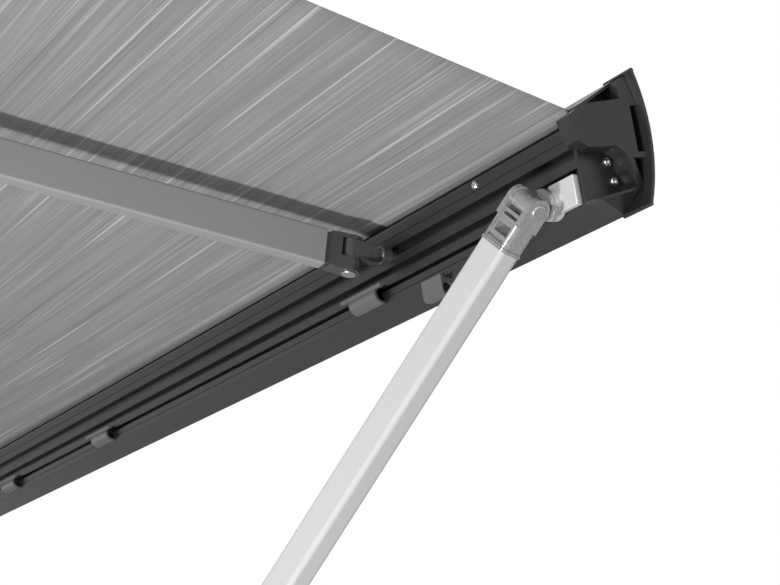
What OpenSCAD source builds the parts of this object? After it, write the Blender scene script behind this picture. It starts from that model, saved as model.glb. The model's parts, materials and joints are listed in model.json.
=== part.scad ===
// Roll out awning for a caravan or camper, drawn open, with its arms out and its legs half swung down.
// +Y points into the vehicle's wall, which is the plane Y = 0. The awning rolls out towards -Y.

/* [Awning] */
// Length of the lead rail extrusion
rail_w = 3100; // [2900:10:4200]
// Pitch of the open fabric below level, in degrees
fabric_pitch = 17.1; // [14:0.1:20]
// Distance between the two pivots of one arm link
arm_link = 1150; // [900:5:1170]
// Angle of the open arm links away from square to the rail, in degrees
arm_open = 5.2; // [4:0.1:12]
// Distance from the rail's end to the wrist and shoulder pivots
wrist_in = 318; // [296:1:360]

/* [Lead rail] */
// Height of the rail's rear face, from the fabric edge down
rear_h = 71; // [70:0.5:76]
// How far the bottom face falls towards the front
bottom_fall = 8.5; // [5:0.5:12]
// Depth of the rail at its bottom edge
bottom_d = 44; // [40:0.5:50]
// Height of the front panel's top edge above the fabric edge
lip_h = 41.6; // [38:0.1:46]
// Depth of the rail at the front panel's top edge
lip_d = 50; // [46:0.5:56]
// Height of the fabric's plane above the fabric edge, over the rail's rear face
entry_up = 16; // [14:0.5:18]
// Bulge of the curved front panel
front_bulge = 10.5; // [6:0.5:14]
// Wall thickness of the rail
rail_t = 2.4; // [2:0.1:3.2]
// Depth of the rear grooves
slot_d = 9; // [7:0.5:10]
// Length of a rail end cap beyond the rail
cap_l = 36; // [30:1:45]

/* [Cassette] */
// Radius of the fabric roll
roll_r = 29; // [27:0.5:30]
// Radius of the roller tube
tube_r = 22; // [20:0.5:24]
// Wall thickness of the roller tube
tube_t = 1.6; // [1.2:0.1:2.5]
// Distance from the vehicle's wall to the roller's axis
roll_out = 44; // [43:0.5:50]
// Height of the roller's axis above the mounting holes
roll_up = -28; // [-32:1:-26]
// Wall thickness of the cassette
case_t = 2.5; // [2:0.1:3.5]
// How far the closed rail's fabric edge stands out from where the fabric leaves the roll
closed_out = 31; // [30:0.5:36]
// How far the closed rail's fabric edge hangs below where the fabric leaves the roll
closed_down = 69; // [68:0.5:75]
// Thickness of the wall brackets
bracket_t = 5; // [4:0.5:6]
// Thickness of the cassette's end caps
case_cap_t = 6; // [4:0.5:8]

/* [Arms] */
// Height of the arm profile
arm_h = 38; // [34:0.5:38]
// Thickness of the arm profile
arm_w = 17; // [15:0.5:19]
// Wall thickness of the arm profile
arm_t = 2; // [1.5:0.1:3]
// Distance between the two folded arm profiles, centre to centre
fold_gap = 25; // [24.5:0.5:27]
// Radius of the pivot pins of the arms
arm_pin_r = 5; // [4:0.25:5.5]
// Distance from the rail's rear face back to the wrist pivot
wrist_back = 32; // [31:0.5:36]
// Distance from the fabric edge down to the wrist pivot's middle
wrist_down = 20; // [17:0.5:20]

/* [Legs] */
// Width of the leg profile along its knuckle pin
leg_w = 34; // [30:0.5:34.5]
// Thickness of the leg profile
leg_t = 23; // [20:0.5:23.5]
// Wall thickness of the leg's outer profile
leg_wall = 1.8; // [1.4:0.1:2.4]
// Length of the leg's outer profile
leg_l = 1340; // [1335:5:1400]
// Length of the leg's inner profile
inner_l = 1230; // [900:5:1240]
// How far the inner profile is drawn out
drawn = 240; // [0:5:600]
// Distance from the rail's end in to the leg pivot
leg_in = 34; // [32:1:40]
// Distance from the rail's rear face back to the knuckle pin
leg_back = 32; // [31:0.5:36]
// Distance from the fabric edge down to the leg pivot
leg_down = 60; // [60:0.5:62]
// Angle of the leg below the rail, in degrees
leg_swing = 47; // [0:1:90]
// Tilt of the leg towards the vehicle, in degrees
leg_tilt = 20; // [0:1:60]
// Radius of the knuckle pin
knuckle_r = 4; // [3:0.25:5]

/* [Fit] */
// Gap between parts that move past each other
gap = 0.4; // [0.3:0.05:0.6]
// Radial clearance of pins in their bores
run = 0.05; // [0.03:0.01:0.09]
// Radius of the mounting holes in the wall brackets
mount_r = 4.25; // [3:0.25:5]

/* [Hidden] */
$fn = 48;
half_w = rail_w/2;
hand = [-1, 1];

// Cassette, with y towards the vehicle and z up
end_clear = 2;
case_hw = half_w + cap_l + end_clear;
roll_y = -roll_out;
leave_y = roll_y - roll_r*sin(fabric_pitch);
leave_z = roll_up + roll_r*cos(fabric_pitch);
shut_y = leave_y - closed_out;
shut_z = leave_z - closed_down;
case_back = -bracket_t;
case_top = roll_up + roll_r + 12;
case_front = shut_y - lip_d + 4;
hood_low = leave_z - (leave_y - case_front)*tan(fabric_pitch) + 4;
hood_r = 30;
case_lip = 14;
bracket_in = 260;
bracket_x = [-half_w + bracket_in, 0, half_w - bracket_in];
bracket_w = 120;
bracket_rise = 8;
hole_apart = 80;
housing_screw_r = mount_r + 4;

// Folding linkage: both links of an arm are equal, so the rail moves straight out
link_side = fold_gap/2;
link_run = sqrt(arm_link*arm_link - link_side*link_side);
shut_angle = 90 - asin(link_side/arm_link);
fold = shut_angle - arm_open;
travel = 2*arm_link*(cos(arm_open) - cos(shut_angle));
arm_pitch = fabric_pitch
    - asin(((closed_down - entry_up)*cos(fabric_pitch) - closed_out*sin(fabric_pitch))/travel);
open_y = shut_y - travel*cos(arm_pitch);
open_z = shut_z - travel*sin(arm_pitch);
shoulder_y = shut_y + wrist_back + fold_gap*cos(arm_pitch);
shoulder_z = shut_z - wrist_down + fold_gap*sin(arm_pitch);
pivot_x = half_w - wrist_in;
case_low = shoulder_z - arm_h/2 - 14;

// Rail section, as distances out from the rear face and down from the fabric edge
step_o = 18;
groove_top = [[step_o, -13.5], [24, -17]];
hollow_top = [[21, rail_t], [25.5, -2.2], [28.5, -9], [27, -16], [lip_d - 7, 8 - lip_h]];
bottom_v = rear_h + bottom_fall;
arc_chord = norm([lip_d - bottom_d, bottom_v + lip_h]);
arc_r = (arc_chord*arc_chord/4 + front_bulge*front_bulge)/(2*front_bulge);
arc_half = asin(arc_chord/2/arc_r);
arc_lean = atan2(lip_d - bottom_d, bottom_v + lip_h);
arc_c = [(lip_d + bottom_d)/2, (bottom_v - lip_h)/2] - (arc_r - front_bulge)*[cos(arc_lean), sin(arc_lean)];
arc_steps = 14;
slot_v = [19, 37.5, 53.5];
slot_h = [10, 7.5, 4.2];
slot_mouth = 2.5;
slot_undercut = 2;
line_w = 0.8;
line_d = 0.8;
line_v = [slot_v[0]/2, rear_h - 6.5];
keder_r = 3;
keder_o = 22;
keder_v = keder_o*tan(fabric_pitch) - entry_up;
keder_wall = 2;
slot_gap = 2;
web = 12;
cap_wall = 3;
cap_proud = 1.2;
cap_bead_r = 2.2;
cap_floor = 4;
cap_top_l = 16;
cap_rib_l = 25;
cap_screw_r = 2.2;
cap_screw_l = 12;
screw_v = [32.5, 50];
screw_o = [31, 35];
port_r = 4.2;
port_rib = 2;

// Rail cap as [out, down] points: its box with the plate beside it, the fin and the bottom wall
box_line = [[-14, -3.4], [6, -15.3], [40, -18.8], [40, -35.5], [46.5, -39], [51, -36], [56, -12], [48, -12],
    [48, 30], [55.5, 30], [55, 35], [37.5, 35], [37.5, 31], [30, 23.5], [4, 24], [-7, 18.4]];
fin_line = [[37.5, 33], [44, 33], [50, 62], [43.2, 62]];
cap_top = [[0, -4.4], [2, -15]];
// Its bottom wall at the rail and at its outer end, and the strip that joins it to the skin
floor_in = [[0, rear_h - 2], [0, rear_h], [bottom_d - 1, bottom_v - 0.6], [bottom_d - 1, bottom_v - 3]];
floor_out = [[0.4, 71.8], [0.4, 74.2], [43, 63.2], [43, 60.8]];
floor_strip = [[42.5, 60.6], [42.5, 63], [53.5, 63], [53.5, 60.6]];
// Depth of the box away from the rail, as [out, depth] points
box_depth = [[-15, 16], [4, 16], [25, 20], [57, 30]];

// Arm castings, drawn about the pivot they turn on
eye_r = 11;
fork_t = 7;
tongue_h = arm_h - 2*fork_t - 2*gap;
casting_l = 60;
wrist_low = 14;
wrist_high = 4;
wrist_body = 13;
wrist_mid = (wrist_low - wrist_high)/2;
wrist_tongue_h = arm_h - wrist_low - wrist_high - 2*gap;
cup_in = 18;
cup_r = 9.5;
cup_h = 9;
cup_wall = 2.5;
cup_v = wrist_down + wrist_back*tan(arm_pitch) - wrist_mid/cos(arm_pitch);
link_foot = [8, 4, 17];
plug_l = 35;
arm_clear = 26;
bracket_foot = [40, 3, 12];
pin_head = 2.5;
pin_head_t = 1.5;
spot_r = arm_pin_r + pin_head + 0.8;
spring_l = 300;
spring_t = 1.5;
spring_slack = 0.3;

// Legs
swivel_r = 14;
swivel_t = 12;
swivel_base_t = 5.6;
swivel_bolt_r = 5;
pad_t = 6.5;
pad_h = 27;
pad_low = 10;
cross_w = 12;
cross_h = 39;
tongue_w = 22;
tongue_r = 9;
head_l = 44;
web_x = 11;
web_in = 2.5;
window_x = [[14, 17], [24, 33]];
window_h = 20;
lip_t = 0.8;
groove_x = [6, 38];
groove_y = 1.6;
head_plug = 30;
tube_end = head_l + leg_l;
inner_end = tube_end + drawn;
slide_gap = 0.5;
inner_w = leg_w - 2*leg_wall - 2*slide_gap;
inner_t = leg_t - 2*leg_wall - 2*slide_gap;
inner_wall = 1.5;
clamp_l = 34;
clamp_t = 2;
lever_l = 46;
lever_pin_r = 2.5;
foot_r = 24;
foot_t = 7;
ankle_r = 3;
ankle_l = 16;
clip_first = wrist_in + 24;
clip_x = [clip_first, clip_first + 673, clip_first + 1020];
clip_l = 50;
clip_t = 2.5;
clip_r = 11;
clip_up = 8.5;
clip_down = rear_h - 12.5;
clip_bar = [76, 4, 4];
clip_bar_at = [8, 3.5];
clip_foot = [20, 13, 3];
clip_foot_at = [-3, 1.5];
catch_x = 214;
catch_l = 33;
catch_d = 10;
catch_h = 18;
catch_r = 5.2;
lock_x = 142;
lock_down = 4.5;

// Roller ends and gear
canopy_t = 0.8;
canopy_w = rail_w - 1;
hem_y = open_y - keder_o + keder_r;
hem_z = open_z - keder_v + keder_r*tan(fabric_pitch);
axle_r = 6;
drive_r = 7;
boss_r = 16;
boss_h = 8;
gear_x = half_w + 18;
wheel_r = 15;
wheel_w = 10;
worm_r = 7;
worm_y = roll_y + wheel_r + worm_r + gap;
shaft_r = 4;
eye_ring_r = 11;
eye_wire = 3;
eye_drop = 26;

// Everything at an end is drawn for the left one, as seen from in front, and mirrored for the right
module at_side(side) {
    if (side < 0) children();
    else mirror([1, 0, 0]) children();
}

// A section of [y, z] points, run along x
module along_x(x0, x1) translate([x0, 0, 0]) rotate([90, 0, 90]) linear_extrude(x1 - x0) children();

// A section of [out, down] points, run along the open rail
module rail_run(x0, x1) along_x(x0, x1) translate([open_y, open_z]) rotate(180) children();

// The open rail's left end: x inwards, y towards the vehicle and z up, from the rear face and fabric edge
module rail_end() translate([-half_w, open_y, open_z]) children();

// The left arm's plane at its shoulder: z along the pivots and -y towards the open rail
module arm_plane() translate([-pivot_x, shoulder_y, shoulder_z]) rotate([arm_pitch, 0, 0]) children();
module upper_place() arm_plane() rotate([0, 0, -fold]) children();
module wrist_plane() arm_plane() translate([0, -travel - fold_gap, 0]) children();
module fore_place() wrist_plane() rotate([0, 0, fold]) children();

// The left leg at its knuckle: x along the leg, y towards the vehicle and z along the pin
module knuckle_point() rail_end() translate([leg_in, leg_back, -leg_down]) children();
module swivel_place() knuckle_point() rotate([0, leg_swing, 0]) children();
module leg_place() swivel_place() rotate([0, 0, leg_tilt]) children();

module rod(r, l) cylinder(r = r, h = l, center = true);

module rounded(w, h, r) {
    square([w - 2*r, h], center = true);
    square([w, h - 2*r], center = true);
    for (x = hand, y = hand) translate([x*(w/2 - r), y*(h/2 - r)]) circle(r = r, $fn = 24);
}

// A rounded profile of width w along y and height h along z, run along x
module bar(w, h, r, x0, x1) along_x(x0, x1) rounded(w, h, r);

function arc_point(i, inset) = let (a = arc_lean - arc_half + 2*arc_half*i/arc_steps)
    arc_c + (arc_r - inset)*[cos(a), sin(a)];
function front_outline() = concat([[lip_d - 3, 1 - lip_h]], [for (i = [0:arc_steps]) arc_point(i, 0)]);
function rail_outline() = concat([[0, rear_h], [0, 0], [step_o, 0]], groove_top, front_outline());
function cap_outline() = concat([[0, rear_h]], cap_top, front_outline());
function rail_hollow() = concat([[web, rear_h], [web, rail_t]], hollow_top,
    [for (i = [1:arc_steps - 1]) arc_point(i, rail_t)]);

module screw_ports() intersection() {
    polygon(rail_outline());
    for (i = [0, 1]) translate([screw_o[i], screw_v[i]]) {
        circle(r = port_r);
        translate([0, -port_rib/2]) square([lip_d, port_rib]);
    }
}

module rail_section() difference() {
    union() {
        difference() {
            polygon(rail_outline());
            polygon(rail_hollow());
        }
        screw_ports();
        translate([keder_o, keder_v]) circle(r = keder_r + gap + keder_wall);
    }
    for (i = [0, 1]) translate([screw_o[i], screw_v[i]]) circle(r = cap_screw_r + run, $fn = 24);
    for (i = [0:2]) {
        translate([-1, slot_v[i]]) square([slot_mouth + 2, slot_h[i]]);
        translate([slot_mouth, slot_v[i] - slot_undercut])
            square([slot_d - slot_mouth, slot_h[i] + 2*slot_undercut]);
    }
    for (v = line_v) translate([-1, v]) square([1 + line_d, line_w]);
    translate([keder_o, keder_v]) circle(r = keder_r + gap);
    translate([keder_o, keder_v]) rotate(fabric_pitch) translate([-3*keder_r, -slot_gap/2])
        square([3*keder_r, slot_gap]);
}

module wall_brackets() color("dimgray") for (x = bracket_x) difference() {
    translate([x - bracket_w/2, case_back, case_low])
        cube([bracket_w, bracket_t, case_top - case_low + bracket_rise]);
    for (s = hand) translate([x + s*hole_apart/2, case_back/2, 0]) rotate([90, 0, 0])
        rod(mount_r, bracket_t + 2);
}

module case_section() {
    translate([case_back - case_t, case_low]) square([case_t, case_top - case_low]);
    translate([case_front + hood_r, case_top - case_t]) square([case_back - case_front - hood_r, case_t]);
    translate([case_front + hood_r, case_top - hood_r]) intersection() {
        difference() {
            circle(r = hood_r, $fn = 96);
            circle(r = hood_r - case_t, $fn = 96);
        }
        translate([-hood_r, 0]) square(hood_r);
    }
    translate([case_front, hood_low]) square([case_t, case_top - hood_r - hood_low]);
    translate([case_back - case_lip, case_low]) square([case_lip, case_t]);
}

module cassette_housing() color("gainsboro") difference() {
    along_x(-case_hw, case_hw) case_section();
    for (x = bracket_x, s = hand) translate([x + s*hole_apart/2, case_back, 0]) rotate([90, 0, 0])
        rod(housing_screw_r, 4*case_t);
    translate([gear_x, worm_y, case_low]) rod(shaft_r + 1, 4*case_t);
}

function cassette_side() = concat([[case_back, case_low], [case_back, case_top]],
    [for (a = [0:10:90]) [case_front + hood_r - hood_r*sin(a), case_top - hood_r + hood_r*cos(a)]],
    [[case_front, hood_low], [shut_y + 6, hood_low], [shut_y + 6, case_low + 30], [shut_y + 26, case_low]]);

module cassette_cap(bore_r) color("black") difference() {
    union() {
        along_x(-case_hw - case_cap_t, -case_hw) polygon(cassette_side());
        translate([-case_hw + boss_h/2, roll_y, roll_up]) rotate([0, 90, 0]) rod(boss_r, boss_h);
    }
    translate([-case_hw + boss_h/2, roll_y, roll_up]) rotate([0, 90, 0]) rod(bore_r, boss_h + 4);
}
module cassette_cap_left() cassette_cap(axle_r + 2);
module cassette_cap_right() mirror([1, 0, 0]) cassette_cap(drive_r + run);

module shoulder_brackets() color("silver") for (side = hand) at_side(side) difference() {
    union() for (s = hand) hull() {
        arm_plane() translate([0, 0, s*(arm_h - fork_t)/2])
            cylinder(r = eye_r, h = fork_t, center = true, $fn = 32);
        translate([-pivot_x - bracket_foot[0]/2, case_back - case_t - bracket_foot[1], shoulder_z + s*14 - 6])
            cube(bracket_foot);
    }
    arm_plane() rod(arm_pin_r, 2*arm_h);
    arm_plane() rod(2*eye_r, tongue_h + 2*gap);
    for (s = hand) arm_plane() translate([0, 0, s*arm_h]) rod(spot_r, arm_h);
}

module arm_pin() {
    rod(arm_pin_r, arm_h);
    for (s = hand) translate([0, 0, s*(arm_h + pin_head_t)/2]) rod(arm_pin_r + pin_head, pin_head_t);
}

module shoulder_pins() color("darkgray") for (side = hand) at_side(side) arm_plane() arm_pin();

module roller_bush() color("black") translate([-case_hw + boss_h/2, roll_y, roll_up]) rotate([0, 90, 0])
    difference() {
        rod(axle_r + 2, boss_h + 3);
        rod(axle_r + run, boss_h + 5);
    }

// Box round the worm and wheel, fixed between the right cap's boss and the roller
module gearbox() color("black") difference() {
    translate([half_w + 7, roll_y - wheel_r - 5, roll_up - 20])
        cube([case_hw - boss_h - half_w - 7, worm_y - roll_y + wheel_r + worm_r + 10, 40]);
    translate([gear_x, roll_y, roll_up]) rotate([0, 90, 0]) rod(wheel_r + 1, wheel_w + 1);
    translate([gear_x, roll_y, roll_up]) rotate([0, 90, 0]) rod(drive_r + run, 4*wheel_w);
    translate([gear_x, worm_y, roll_up]) rod(worm_r + gap, 30);
    translate([gear_x, worm_y, roll_up - 20]) rod(shaft_r + run, 40);
}

module roller_tube() color("silver") translate([0, roll_y, roll_up]) rotate([0, 90, 0]) difference() {
    rod(tube_r, rail_w + 4);
    rod(tube_r - tube_t, rail_w + 6);
}

// An end plug with its collar and axle, drawn for the left end
module roller_plug(r, axle_end) translate([-half_w - 2, roll_y, roll_up]) rotate([0, 90, 0]) {
    cylinder(r = tube_r - tube_t, h = plug_l);
    translate([0, 0, -2]) cylinder(r = tube_r, h = 2);
    translate([0, 0, -axle_end]) cylinder(r = r, h = axle_end);
}
module roller_plug_left() color("black") roller_plug(axle_r, case_hw - half_w - 2);
module roller_plug_right() color("black") mirror([1, 0, 0])
    roller_plug(drive_r, gear_x - half_w - wheel_w/2 - 2);

// The wheel's outline stands for its teeth, which the worm clears by the running gap
module worm_wheel() color("goldenrod") translate([gear_x, roll_y, roll_up]) rotate([0, 90, 0]) {
    rod(wheel_r, wheel_w);
    cylinder(r = drive_r, h = case_hw - gear_x);
}

module fabric_roll() color("gray") translate([0, roll_y, roll_up]) rotate([0, 90, 0]) difference() {
    rod(roll_r - canopy_t/2 - 0.3, canopy_w);
    rod(tube_r, canopy_w + 2);
}

module worm_shaft() color("darkgray") translate([gear_x, worm_y, 0]) {
    translate([0, 0, roll_up]) rod(worm_r, 28);
    translate([0, 0, case_low - eye_drop + eye_ring_r])
        cylinder(r = shaft_r, h = roll_up - case_low + eye_drop - eye_ring_r);
    translate([0, 0, case_low - eye_drop]) rotate([90, 0, 0]) rotate_extrude()
        translate([eye_ring_r, 0]) circle(r = eye_wire, $fn = 24);
}

// Open fabric: one plane from the roll's top to the cord in the rail's groove
module canopy_fabric() color("gray") along_x(-canopy_w/2, canopy_w/2) polygon([
    for (end = [[leave_y, leave_z, 1], [leave_y, leave_z, -1], [hem_y, hem_z, -1], [hem_y, hem_z, 1]])
        [end[0], end[1] + end[2]*canopy_t/2]]);

module keder_cord() color("white") translate([0, open_y - keder_o, open_z - keder_v]) rotate([0, 90, 0])
    rod(keder_r, canopy_w);

// The profile end of a casting, which fits the arm profile and shows a shoulder outside it
module casting_end(x0, x1, solid_to) {
    bar(arm_w - 2*arm_t, arm_h - 2*arm_t, 1, x0, x1);
    bar(arm_w, arm_h, 2, x0, solid_to);
}

// A fork round the origin, with a body that starts at body_x and sits off the pivot by side_y
module fork(body_x, side_y, end_x, low_t, high_t) difference() {
    union() {
        for (ear = [[-arm_h/2, low_t], [arm_h/2 - high_t, high_t]]) translate([0, 0, ear[0]]) hull() {
            cylinder(r = eye_r, h = ear[1], $fn = 32);
            translate([body_x, side_y - arm_w/2, 0]) cube([6, arm_w, ear[1]]);
        }
        translate([0, side_y, 0]) casting_end(body_x, end_x, body_x + 12);
    }
    rod(arm_pin_r + (side_y == 0 ? run : 0), 2*arm_h);
}

module tongue(body_x, side_y, end_x, bore) difference() {
    union() {
        hull() {
            cylinder(r = eye_r, h = tongue_h, center = true, $fn = 32);
            translate([body_x, side_y - arm_w/2, -tongue_h/2]) cube([6, arm_w, tongue_h]);
        }
        translate([0, side_y, 0]) casting_end(body_x, end_x, body_x + 12);
    }
    rod(bore, 2*arm_h);
}

module shoulder_casting(side) color("silver") at_side(side) upper_place()
    tongue(18, 0, casting_l, arm_pin_r + run);
module shoulder_casting_left() shoulder_casting(-1);
module shoulder_casting_right() shoulder_casting(1);

module arm_tube(x0, x1) color("darkgray") difference() {
    bar(arm_w, arm_h, 2.5, x0, x1);
    bar(arm_w - 2*arm_t, arm_h - 2*arm_t, 1, x0 - 1, x1 + 1);
}
module upper_arm(side) at_side(side) upper_place() arm_tube(30, link_run - arm_clear - 12);
module upper_arm_left() upper_arm(-1);
module upper_arm_right() upper_arm(1);

// The elbow's pivot lies beside both profiles, so that they fold flat together
module elbow_fork(side) color("dimgray") at_side(side) upper_place() translate([link_run, -link_side, 0])
    mirror([1, 0, 0]) fork(arm_clear, link_side, casting_l, fork_t, fork_t);
module elbow_fork_left() elbow_fork(-1);
module elbow_fork_right() elbow_fork(1);

module elbow_pin(side) color("silver") at_side(side) upper_place()
    translate([link_run, -link_side, 0]) arm_pin();
module elbow_pin_left() elbow_pin(-1);
module elbow_pin_right() elbow_pin(1);

module elbow_tongue(side) color("dimgray") at_side(side) fore_place() translate([link_run, link_side, 0])
    mirror([1, 0, 0]) tongue(arm_clear, -link_side, casting_l, arm_pin_r + run);
module elbow_tongue_left() elbow_tongue(-1);
module elbow_tongue_right() elbow_tongue(1);

module forearm(side) at_side(side) fore_place() arm_tube(30, link_run - arm_clear - 12);
module forearm_left() forearm(-1);
module forearm_right() forearm(1);

module arm_spring(side) color("silver") at_side(side) fore_place()
    translate([link_run - casting_l - spring_l/2 - 6, 0, 0]) rotate([0, 90, 0]) difference() {
        rod(arm_w/2 - arm_t - spring_slack, spring_l);
        rod(arm_w/2 - arm_t - spring_slack - spring_t, spring_l + 2);
    }
module arm_spring_left() arm_spring(-1);
module arm_spring_right() arm_spring(1);

module wrist_casting(side) color("dimgray") at_side(side) fore_place()
    fork(wrist_body, 0, casting_l, wrist_low, wrist_high);
module wrist_casting_left() wrist_casting(-1);
module wrist_casting_right() wrist_casting(1);

module wrist_pins() color("silver") for (side = hand) at_side(side) wrist_plane() arm_pin();

module wrist_brackets() color("dimgray") for (side = hand) at_side(side) difference() {
    union() {
        hull() {
            wrist_plane() translate([0, 0, wrist_mid])
                cylinder(r = eye_r, h = wrist_tongue_h, center = true, $fn = 32);
            rail_end() translate([wrist_in - cup_in + cup_wall, 0, -cup_v - link_foot[2]/2]) cube(link_foot);
        }
        rail_end() translate([wrist_in - cup_in, 0, -cup_v]) rotate([-90, 0, 0]) cylinder(r = cup_r, h = cup_h);
    }
    wrist_plane() rod(arm_pin_r, 2*arm_h);
    rail_end() translate([wrist_in - cup_in, cup_wall, -cup_v]) rotate([-90, 0, 0])
        cylinder(r = cup_r - cup_wall, h = wrist_back);
}

module lead_rail() color("#5a5c60") rail_run(-half_w, half_w) rail_section();

module cap_skin() {
    polygon(concat([for (i = [0:arc_steps]) arc_point(i, -cap_proud)],
        [for (i = [arc_steps:-1:0]) arc_point(i, cap_wall - cap_proud)]));
    for (i = [0, arc_steps]) translate(arc_point(i, cap_wall/2 - cap_proud)) circle(r = cap_bead_r, $fn = 24);
}

module cap_shell() {
    rail_run(-half_w - cap_floor, -half_w) polygon(cap_outline());
    rail_run(-half_w - cap_l, -half_w) cap_skin();
    rail_run(-half_w - cap_top_l, -half_w) polygon([cap_top[1], [lip_d - 3, 1 - lip_h],
        [lip_d - 3, 1 - lip_h + cap_wall], cap_top[1] + [0, cap_wall]]);
    hull() {
        rail_run(-half_w - 1, -half_w) polygon(floor_in);
        rail_run(-half_w - cap_rib_l, -half_w - cap_rib_l + 1) polygon(floor_out);
    }
    rail_run(-half_w - cap_rib_l, -half_w) {
        polygon(fin_line);
        polygon(floor_strip);
    }
    intersection() {
        rail_run(-half_w - cap_l, -half_w) polygon(box_line);
        rail_end() box_plan();
    }
}

// Plan of the box, as deep as box_depth gives at each distance out
module box_plan() translate([0, 0, -bottom_v]) linear_extrude(bottom_v + lip_h)
    polygon(concat([[0, 15]], [for (p = box_depth) [-p[1], -p[0]]], [[0, -57]]));

module rail_cap(side) color("#26272b") at_side(side) difference() {
    cap_shell();
    for (i = [0, 1]) translate([-half_w - cap_floor/2, open_y - screw_o[i], open_z - screw_v[i]])
        rotate([0, 90, 0]) rod(cap_screw_r + run, cap_floor + 2);
}
module rail_cap_left() rail_cap(-1);
module rail_cap_right() rail_cap(1);

module pan_screw(r, shank, l) {
    cylinder(r = r, h = 2.4);
    translate([0, 0, -l]) cylinder(r = shank, h = l);
}

module cap_screws() color("silver") for (side = hand, i = [0, 1]) at_side(side)
    translate([-half_w - cap_floor, open_y - screw_o[i], open_z - screw_v[i]]) rotate([0, -90, 0])
        pan_screw(4, cap_screw_r, cap_screw_l);

module fabric_screws() color("silver") for (side = hand) at_side(side)
    rail_end() translate([lock_x, 0, -lock_down]) rotate([-90, 0, 0]) pan_screw(4, 0.5, 0.01);

// Spring clip in the rail's lowest groove, bent out from the rear face, with a bar along its free edge
module leg_clip() translate([0, 0, -clip_down]) {
    translate([-clip_l/2, 0, 0]) along_x(0, clip_l) intersection() {
        difference() {
            circle(r = clip_r);
            circle(r = clip_r - clip_t);
        }
        translate([0, -clip_r]) square([clip_r, clip_r + clip_up]);
    }
    translate([-clip_bar[0]/2, clip_bar_at[0], clip_bar_at[1]]) cube(clip_bar);
    translate([-clip_foot[0]/2, clip_foot_at[0], clip_foot_at[1]]) cube(clip_foot);
}
module leg_clips() color("gray") for (side = hand, x = clip_x) at_side(side)
    rail_end() translate([x, 0, 0]) leg_clip();

// Block under the rail's rear edge, with a bore along the rail for the catch's bolt
module catch_blocks() color("dimgray") for (side = hand) at_side(side) rail_run(-half_w + catch_x,
    -half_w + catch_x + catch_l) difference() {
    polygon([[0, rear_h], [catch_d, rear_h + catch_d*bottom_fall/bottom_d], [catch_d, rear_h + catch_h - 3],
        [catch_d - 3, rear_h + catch_h], [0, rear_h + catch_h], [-3, rear_h + catch_h - 3],
        [-3, rear_h - 3], [0, rear_h - 3]]);
    translate([catch_d/2 - 1.5, rear_h + catch_h/2 + 1.5]) circle(r = catch_r);
}

module leg_brackets() color("gainsboro") for (side = hand) at_side(side) knuckle_point() difference() {
    union() {
        translate([0, swivel_t/2 - leg_back, 0]) rotate([90, 0, 0]) rod(swivel_r, swivel_t);
        translate([-leg_in, -leg_back, -pad_low]) cube([leg_in, pad_t, pad_h]);
    }
    translate([0, -leg_back, 0]) rotate([90, 0, 0]) rod(swivel_bolt_r + run, 3*swivel_t);
}

module leg_swivel(side) color("silver") at_side(side) swivel_place() difference() {
    union() {
        translate([0, swivel_t + gap - leg_back + swivel_base_t/2, 0]) rotate([90, 0, 0])
            rod(swivel_r, swivel_base_t);
        translate([-cross_w/2, swivel_t + gap - leg_back, -cross_h/2]) cube([cross_w, swivel_base_t, cross_h]);
        translate([0, (gap + swivel_base_t)/2 - leg_back + swivel_t/2 + 1, 0]) rotate([90, 0, 0])
            rod(swivel_bolt_r, swivel_t + gap + swivel_base_t - 2);
        translate([-tongue_r, swivel_t + gap - leg_back + swivel_base_t - 0.5, -tongue_w/2])
            cube([2*tongue_r, leg_back - swivel_t - gap - swivel_base_t + 0.5, tongue_w]);
        rod(tongue_r, tongue_w);
    }
    rod(knuckle_r, 2*leg_w);
}
module leg_swivel_left() leg_swivel(-1);
module leg_swivel_right() leg_swivel(1);

module leg_pin(side) color("gainsboro") at_side(side) swivel_place() {
    rod(knuckle_r, leg_w);
    for (s = hand) translate([0, 0, s*(leg_w/2 + 0.75)]) rod(knuckle_r + 2.5, 1.5);
}
module leg_pin_left() leg_pin(-1);
module leg_pin_right() leg_pin(1);

// Cast fork on the leg's upper end, with windows through its web
module leg_head(side) color("silver") at_side(side) leg_place() difference() {
    union() {
        rod(leg_t/2, leg_w);
        translate([0, -leg_t/2, -leg_w/2]) cube([web_x + 8, leg_t, leg_w]);
        bar(leg_t, leg_w, 5, web_x, head_l);
        bar(leg_t + 2*lip_t, leg_w + 2*lip_t, 5, head_l - 3, head_l);
        bar(leg_t - 2*leg_wall, leg_w - 2*leg_wall, 3.5, head_l - 1, head_l + head_plug);
    }
    translate([-leg_w, -leg_w, -tongue_w/2 - gap]) cube([leg_w + web_x, 2*leg_w, tongue_w + 2*gap]);
    rod(knuckle_r + run, 2*leg_w);
    for (s = hand) translate([web_x - 1, s*(leg_t - web_in)/2 - web_in/2, -tongue_w/2 - gap])
        cube([head_l - web_x - 4, web_in, tongue_w + 2*gap]);
    for (w = window_x) translate([w[0], -leg_t, -window_h/2]) cube([w[1] - w[0], 2*leg_t, window_h]);
    for (s = hand) translate([groove_x[0], groove_y, s*leg_w/2 - 0.5]) cube([groove_x[1] - groove_x[0], 0.8, 1]);
}
module leg_head_left() leg_head(-1);
module leg_head_right() leg_head(1);

module leg_tube(side) color("silver") at_side(side) leg_place() difference() {
    bar(leg_t, leg_w, 5, head_l, head_l + leg_l);
    bar(leg_t - 2*leg_wall, leg_w - 2*leg_wall, 3.5, head_l - 1, head_l + leg_l + 1);
}
module leg_tube_left() leg_tube(-1);
module leg_tube_right() leg_tube(1);

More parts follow.
